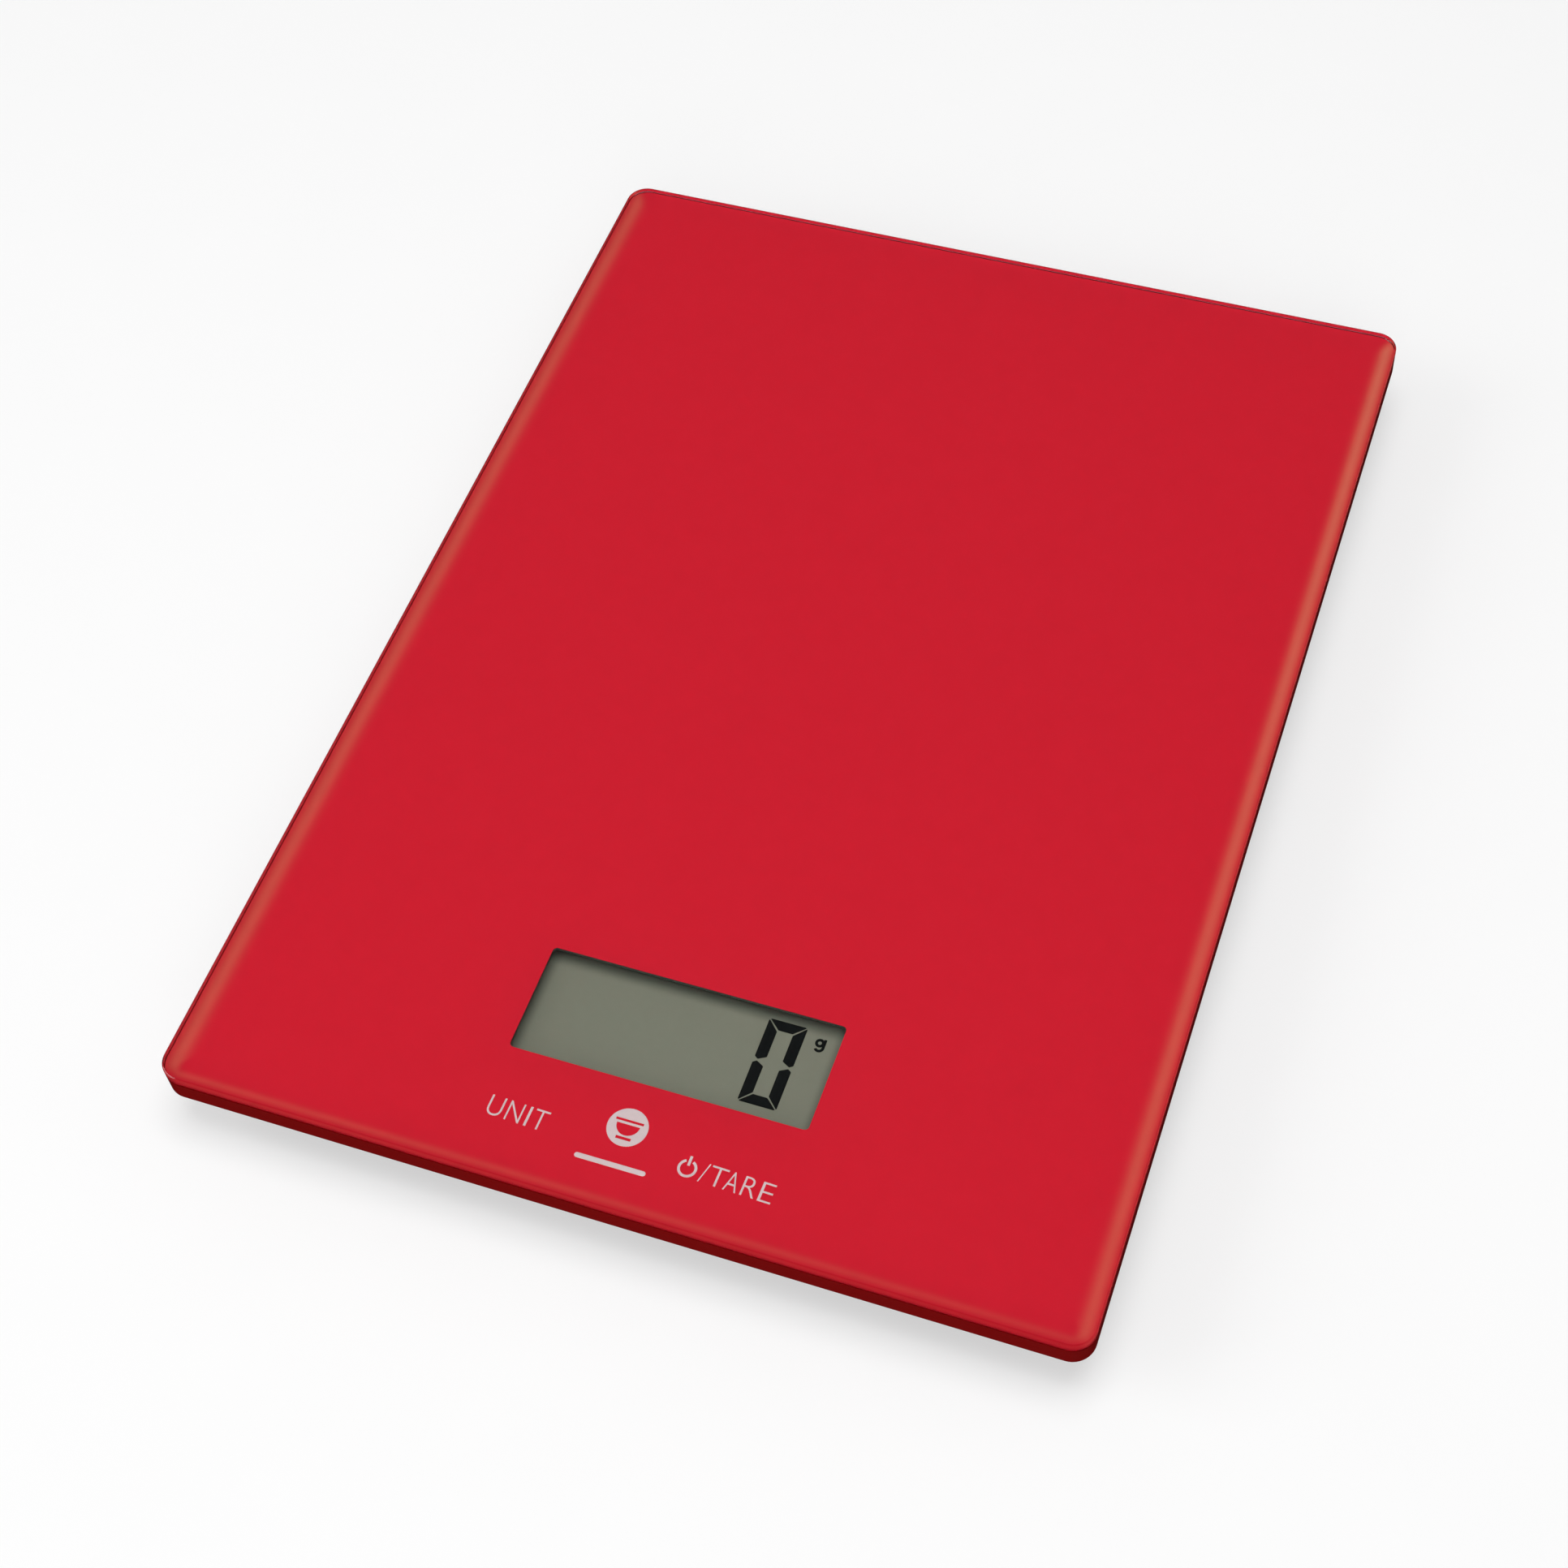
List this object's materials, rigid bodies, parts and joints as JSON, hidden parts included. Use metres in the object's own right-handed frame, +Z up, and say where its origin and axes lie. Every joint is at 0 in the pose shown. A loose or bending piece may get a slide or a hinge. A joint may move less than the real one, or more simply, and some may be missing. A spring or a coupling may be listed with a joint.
{
  "type": "kitchen scale",
  "caption": "Slim kitchen scale: red-backed glass platform over a low body with a recessed display, touch keys, load-cell feet and a coin-cell battery.",
  "frame": {"origin": "centre of the footprint, on the surface that the scale stands on", "axes": "+Z up, -Y towards the display end and the user, +Y along the longest side to the back, +X to the right"},
  "size_m": [0.16, 0.22, 0.017],
  "materials": {
    "clear_glass": "clear toughened glass, polished edge",
    "red_print": "red ink film behind the glass",
    "foam_tape": "black acrylic foam tape",
    "tray_plastic": "dark red moulded ABS",
    "base_plastic": "dark grey spark-textured ABS",
    "screw_steel": "zinc-plated steel",
    "display_film": "grey-green polarising film",
    "display_glass": "thin display glass",
    "reflector_film": "satin reflector film",
    "white_plastic": "white moulded ABS",
    "strip_rubber": "silicone with carbon layers",
    "board_laminate": "green solder mask on glass-epoxy laminate",
    "black_epoxy": "black bonding epoxy",
    "plated_metal": "nickel-plated spring steel",
    "ceramic_chips": "ceramic chip components",
    "load_cell_steel": "stamped spring steel",
    "gauge_sealant": "white silicone sealant",
    "cell_steel": "nickel-plated steel can",
    "holder_plastic": "black moulded ABS",
    "red_lead": "red PVC sleeve",
    "black_lead": "black PVC sleeve",
    "cap_plastic": "dark grey spark-textured ABS",
    "foot_plastic": "dark grey moulded ABS",
    "foot_rubber": "black rubber"
  },
  "bodies": {
    "scale_body": {"base_cover": "base_plastic", "base_screws": "screw_steel", "battery_contact_negative": "plated_metal", "battery_contact_positive": "plated_metal", "battery_holder": "holder_plastic", "battery_lead_negative": "black_lead", "battery_lead_positive": "red_lead", "board_screws": "screw_steel", "chip_blob": "black_epoxy", "circuit_board": "board_laminate", "clock_crystal": "plated_metal", "coin_cell": "cell_steel", "colour_print": "red_print", "contact_strip": "strip_rubber", "display_front_glass": "display_glass", "display_gasket": "foam_tape", "display_holder": "white_plastic", "display_polariser": "display_film", "display_rear_glass": "display_glass", "display_reflector": "reflector_film", "foot_cup_back_left": "foot_plastic", "foot_cup_back_right": "foot_plastic", "foot_cup_front_left": "foot_plastic", "foot_cup_front_right": "foot_plastic", "foot_pad_back_left": "foot_rubber", "foot_pad_back_right": "foot_rubber", "foot_pad_front_left": "foot_rubber", "foot_pad_front_right": "foot_rubber", "glass_platform": "clear_glass", "glass_tape": "foam_tape", "load_cell_back_left": "load_cell_steel", "load_cell_back_right": "load_cell_steel", "load_cell_front_left": "load_cell_steel", "load_cell_front_right": "load_cell_steel", "load_cell_lead_back_left": "black_lead", "load_cell_lead_back_right": "black_lead", "load_cell_lead_front_left": "black_lead", "load_cell_lead_front_right": "black_lead", "platform_tray": "tray_plastic", "small_components": "ceramic_chips", "strain_gauge_back_left": "gauge_sealant", "strain_gauge_back_right": "gauge_sealant", "strain_gauge_front_left": "gauge_sealant", "strain_gauge_front_right": "gauge_sealant", "tare_touch_spring": "plated_metal", "unit_touch_spring": "plated_metal"},
    "battery_cap": {"battery_cap": "cap_plastic"}
  },
  "joints": [
    {"name": "battery_cap_turn", "type": "hinge", "parent": "scale_body", "child": "battery_cap", "pos_m": [0, 0.05, 0.0048], "axis": [0, 0, 1], "range_deg": [-45, 0]}
  ]
}
